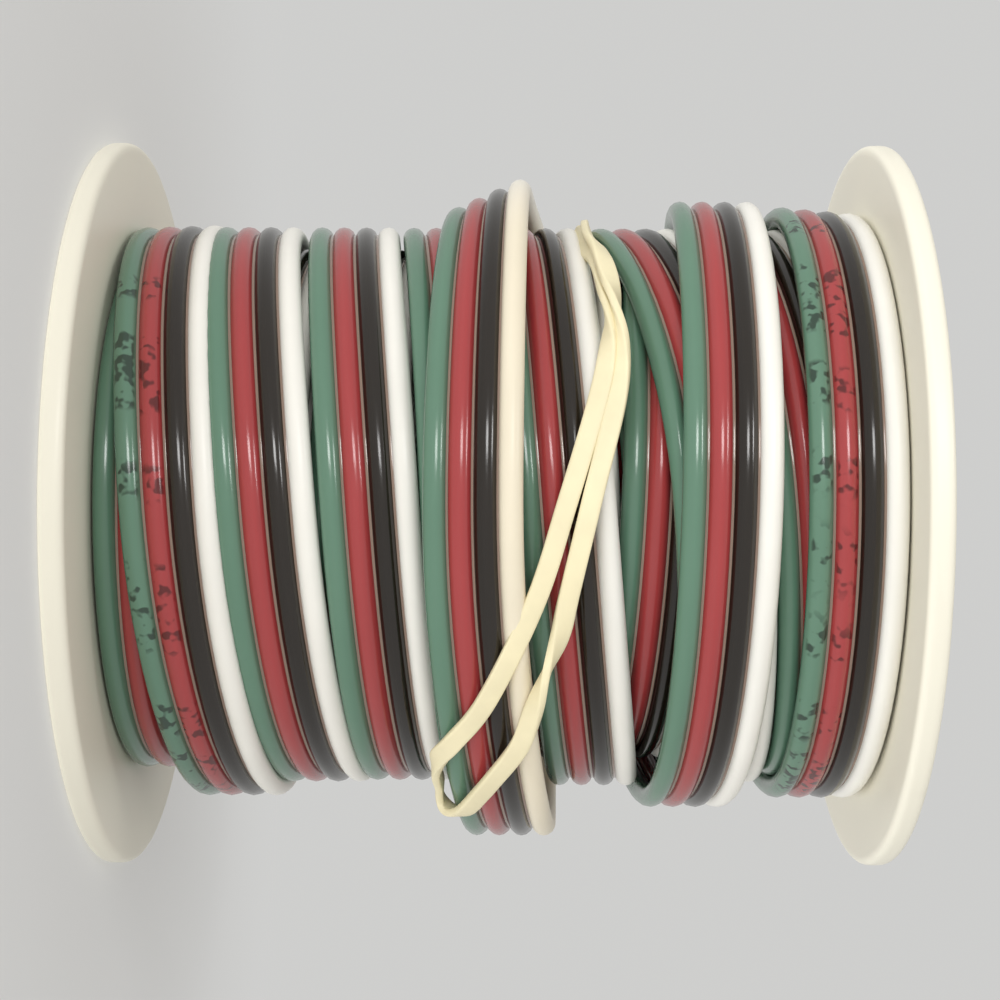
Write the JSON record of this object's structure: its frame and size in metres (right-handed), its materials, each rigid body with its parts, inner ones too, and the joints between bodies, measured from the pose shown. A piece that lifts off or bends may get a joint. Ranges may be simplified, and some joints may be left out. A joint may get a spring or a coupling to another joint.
{
  "type": "coil of four-conductor cable",
  "caption": "Flat bonded multi-conductor cable wound in layers on a flanged white plastic spool with an arbor hole, held by a doubled rubber band.",
  "frame": {"origin": "centre of the lower flange's outer face, where the spool stands", "axes": "+Z along the spool's axis, up through the arbor bore; the rubber band's front strands face -Y"},
  "size_m": [0.08, 0.08, 0.085],
  "materials": {
    "spool_plastic": "satin moulded polystyrene",
    "cable_insulation": "smooth glossy vinyl",
    "green_insulation": "smooth glossy vinyl",
    "red_insulation": "smooth glossy vinyl",
    "black_insulation": "smooth glossy vinyl",
    "white_insulation": "smooth satin vinyl",
    "copper_strand": "bare stranded copper",
    "band_rubber": "pale matte rubber"
  },
  "bodies": {
    "root": {"spool": "spool_plastic", "cable_winding": "cable_insulation", "rubber_band": "band_rubber"}
  },
  "joints": []
}
